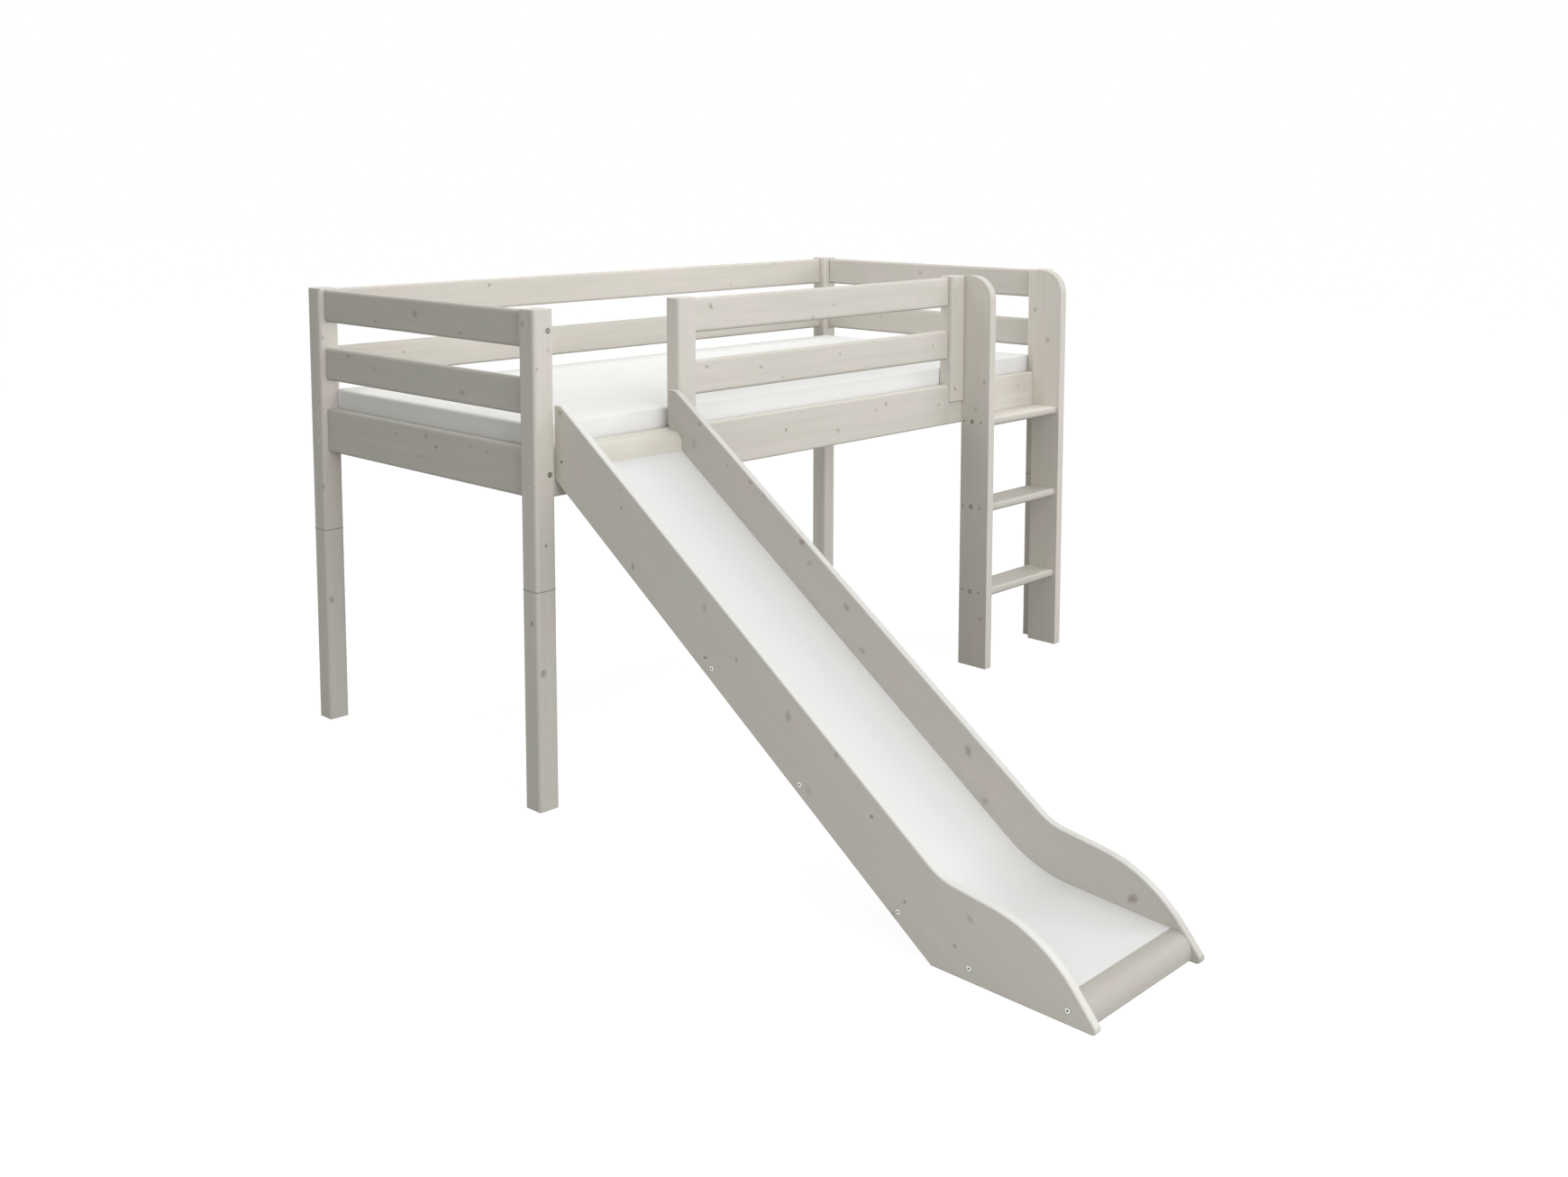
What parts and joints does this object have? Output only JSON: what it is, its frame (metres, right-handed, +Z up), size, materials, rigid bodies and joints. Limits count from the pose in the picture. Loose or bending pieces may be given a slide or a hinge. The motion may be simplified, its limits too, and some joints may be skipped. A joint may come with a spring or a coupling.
{
  "type": "loft bed with slide",
  "caption": "Mid-height wooden loft bed with a guard rail, a ladder and a straight slide with wavy cheeks on its front side, and a mattress on slats.",
  "frame": {"origin": "on the floor, in the middle of the box round bed and slide together", "axes": "+X along the bed's length from the slide to the ladder, +Y from the slide's toe to the bed's back, +Z up"},
  "size_m": [2.08, 2.4766, 1.194],
  "materials": {
    "whitewashed_pine": "whitewash glaze, satin",
    "white_laminate": "smooth laminate, satin",
    "mattress_cover": "plain woven cotton, matt",
    "bare_spruce": "planed, untreated",
    "beech_dowel": "untreated"
  },
  "bodies": {
    "bed_frame": {"post_front_left": "whitewashed_pine", "post_front_right": "whitewashed_pine", "post_back_left": "whitewashed_pine", "post_back_right": "whitewashed_pine", "leg_front_left": "whitewashed_pine", "leg_front_right": "whitewashed_pine", "leg_back_left": "whitewashed_pine", "leg_back_right": "whitewashed_pine", "leg_dowel_front_left": "beech_dowel", "leg_dowel_front_right": "beech_dowel", "leg_dowel_back_left": "beech_dowel", "leg_dowel_back_right": "beech_dowel", "end_board_left_top": "whitewashed_pine", "end_board_left_middle": "whitewashed_pine", "end_board_left_low": "whitewashed_pine", "end_board_right_top": "whitewashed_pine", "end_board_right_middle": "whitewashed_pine", "end_board_right_low": "whitewashed_pine", "back_board_top": "whitewashed_pine", "back_board_middle": "whitewashed_pine", "side_rail_front": "whitewashed_pine", "side_rail_back": "whitewashed_pine", "guard_post_slide_side": "whitewashed_pine", "guard_post_ladder_side": "whitewashed_pine", "guard_board_top": "whitewashed_pine", "guard_board_middle": "whitewashed_pine", "slat_ledger_front": "whitewashed_pine", "slat_ledger_back": "whitewashed_pine", "bed_slat_01": "bare_spruce", "bed_slat_02": "bare_spruce", "bed_slat_03": "bare_spruce", "bed_slat_04": "bare_spruce", "bed_slat_05": "bare_spruce", "bed_slat_06": "bare_spruce", "bed_slat_07": "bare_spruce", "bed_slat_08": "bare_spruce", "bed_slat_09": "bare_spruce", "bed_slat_10": "bare_spruce", "bed_slat_11": "bare_spruce", "bed_slat_12": "bare_spruce", "bed_slat_13": "bare_spruce", "bed_slat_14": "bare_spruce", "ladder_stringer_left": "whitewashed_pine", "ladder_stringer_right": "whitewashed_pine", "ladder_rung_1": "whitewashed_pine", "ladder_rung_2": "whitewashed_pine", "ladder_rung_3": "whitewashed_pine", "slide_cheek_left": "whitewashed_pine", "slide_cheek_right": "whitewashed_pine", "slide_board": "white_laminate", "slide_entry_rail": "whitewashed_pine", "slide_toe_nosing": "whitewashed_pine", "slide_batten_1": "whitewashed_pine", "slide_batten_2": "whitewashed_pine", "slide_batten_3": "whitewashed_pine", "slide_batten_4": "whitewashed_pine"},
    "mattress": {"mattress": "mattress_cover"}
  },
  "joints": [
    {"name": "mattress_lift", "type": "slide", "parent": "bed_frame", "child": "mattress", "axis": [0, 0, 1], "range_m": [0, 0.4]}
  ]
}
